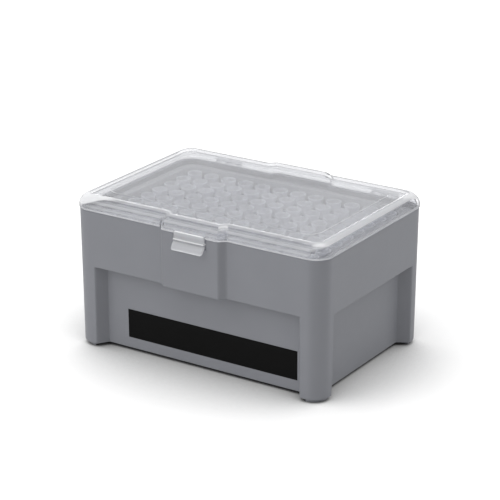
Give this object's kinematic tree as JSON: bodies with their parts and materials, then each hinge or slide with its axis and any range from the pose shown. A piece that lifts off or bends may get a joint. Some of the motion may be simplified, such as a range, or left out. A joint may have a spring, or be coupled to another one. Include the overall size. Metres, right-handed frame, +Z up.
{
  "type": "pipette tip box",
  "caption": "Hinged box that stores pipette tips upright in a perforated deck, with a grey footed base, a clear lid and a front snap latch.",
  "frame": {"origin": "middle of the whole object's footprint, on the surface that its feet stand on", "axes": "+Z up, +X along the box's long side, -Y out of the front with the latch"},
  "size_m": [0.123, 0.0938, 0.0681],
  "materials": {
    "base": "satin moulded grey polypropylene",
    "deck": "satin moulded light grey polypropylene",
    "tip": "translucent natural polypropylene",
    "print": "black print on the front panel",
    "clear_lid": "clear, slightly hazy moulded plastic"
  },
  "bodies": {
    "base": {"base_box": "base", "tip_deck": "deck", "tips_column_01": "tip", "tips_column_02": "tip", "tips_column_03": "tip", "tips_column_04": "tip", "tips_column_05": "tip", "tips_column_06": "tip", "tips_column_07": "tip", "tips_column_08": "tip", "tips_column_09": "tip", "tips_column_10": "tip", "tips_column_11": "tip", "tips_column_12": "tip"},
    "lid": {"lid": "clear_lid"},
    "latch": {"latch": "clear_lid"}
  },
  "joints": [
    {"name": "lid_hinge", "type": "hinge", "parent": "base", "child": "lid", "pos_m": [0, 0.04559, 0.06165], "axis": [-1, 0, 0], "range_deg": [0, 105]},
    {"name": "latch_hinge", "type": "hinge", "parent": "lid", "child": "latch", "pos_m": [0, -0.04434, 0.0624], "axis": [-1, 0, 0], "range_deg": [0, 40]}
  ]
}
